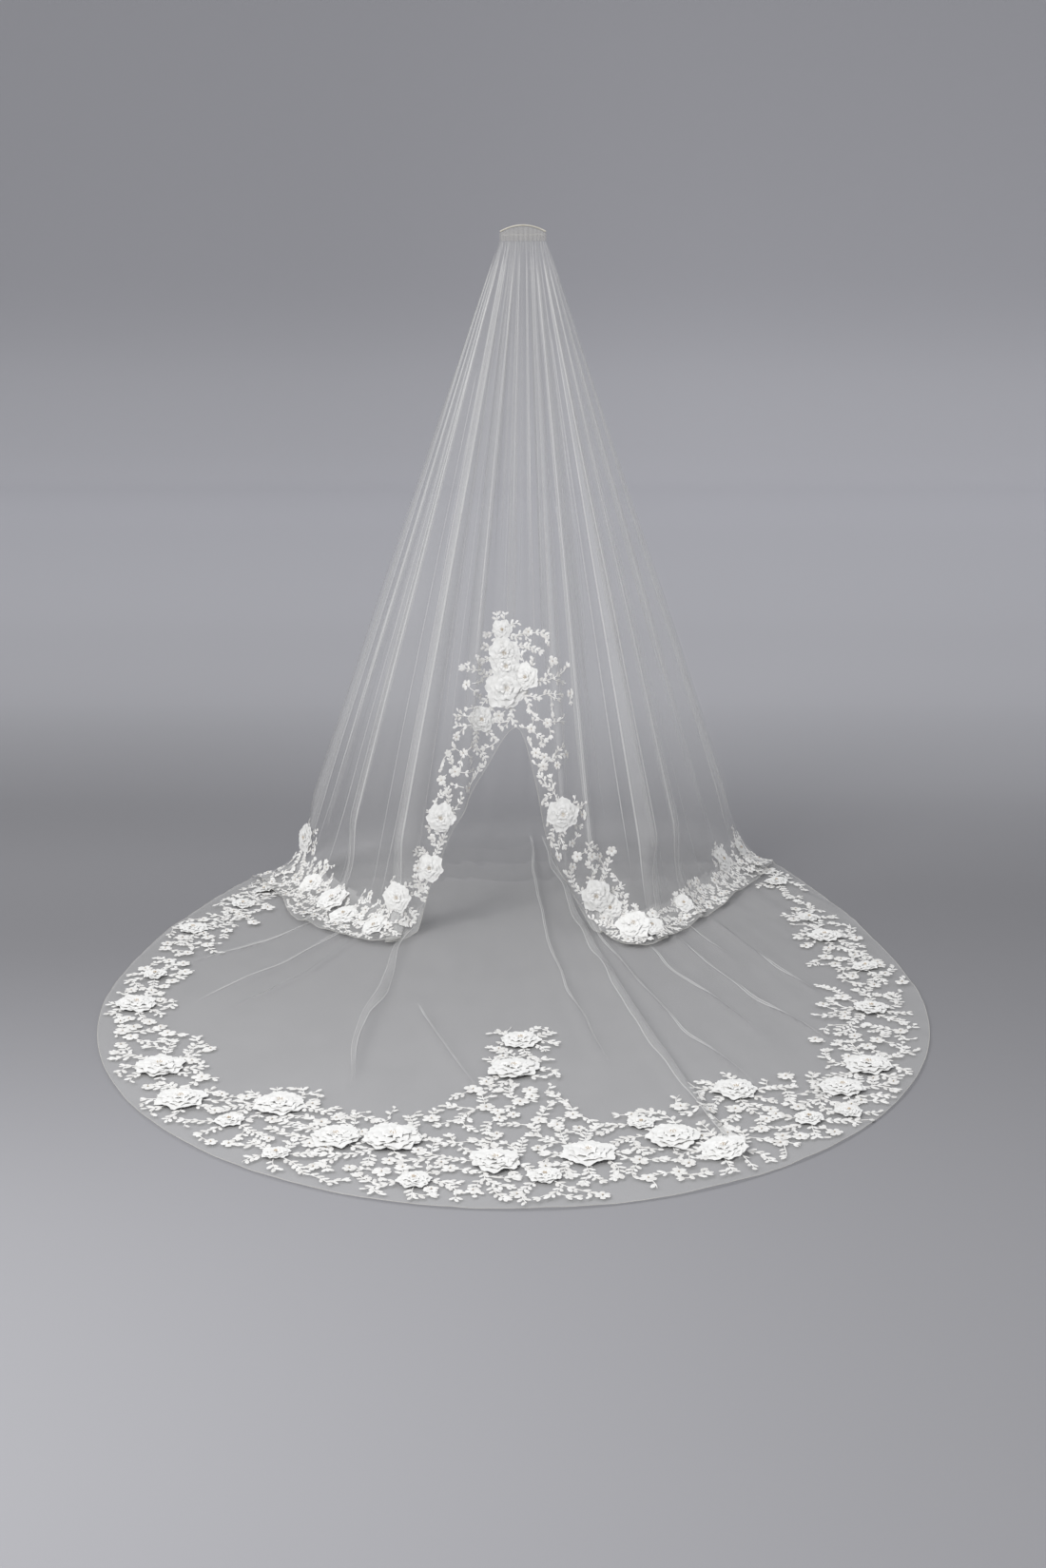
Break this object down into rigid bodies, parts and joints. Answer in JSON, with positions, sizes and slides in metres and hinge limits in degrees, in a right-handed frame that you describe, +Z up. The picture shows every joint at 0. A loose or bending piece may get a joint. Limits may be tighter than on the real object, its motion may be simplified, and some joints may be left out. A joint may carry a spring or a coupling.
{
  "type": "bridal veil",
  "caption": "Sheer floor-length bridal veil gathered on a hair comb, with a lace flower border, an arched front hem and a round train.",
  "frame": {"origin": "the comb's seat, at the middle of its spine, where the veil is pinned into the hair", "axes": "+Z up along the hanging net, the train runs out towards -Y on the side of the short front fall, X across the comb"},
  "size_m": [1.7791, 2.1604, 1.6215],
  "materials": {
    "net": "sheer off-white net",
    "lace": "matte white lace and chiffon",
    "binding": "cream ribbon",
    "comb": "smooth, pale"
  },
  "bodies": {
    "root": {"back_fall_left": "net", "back_fall_middle": "net", "back_fall_right": "net", "edge_binding": "binding", "flower_front_01": "lace", "flower_front_02": "lace", "flower_front_03": "lace", "flower_front_04": "lace", "flower_front_05": "lace", "flower_front_06": "lace", "flower_front_07": "lace", "flower_front_08": "lace", "flower_front_09": "lace", "flower_front_10": "lace", "flower_front_11": "lace", "flower_train_left_01": "lace", "flower_train_left_02": "lace", "flower_train_left_03": "lace", "flower_train_left_04": "lace", "flower_train_left_05": "lace", "flower_train_left_06": "lace", "flower_train_left_07": "lace", "flower_train_right_01": "lace", "flower_train_right_02": "lace", "flower_train_right_03": "lace", "flower_train_right_04": "lace", "flower_train_right_05": "lace", "flower_train_right_06": "lace", "flower_train_right_07": "lace", "flower_train_right_08": "lace", "flower_train_right_09": "lace", "flower_train_right_10": "lace", "flower_train_right_11": "lace", "front_fall": "net", "gathered_heading": "net", "hair_comb": "comb", "lace_front": "lace", "lace_train_left": "lace", "lace_train_right": "lace", "train": "net"}
  },
  "joints": []
}
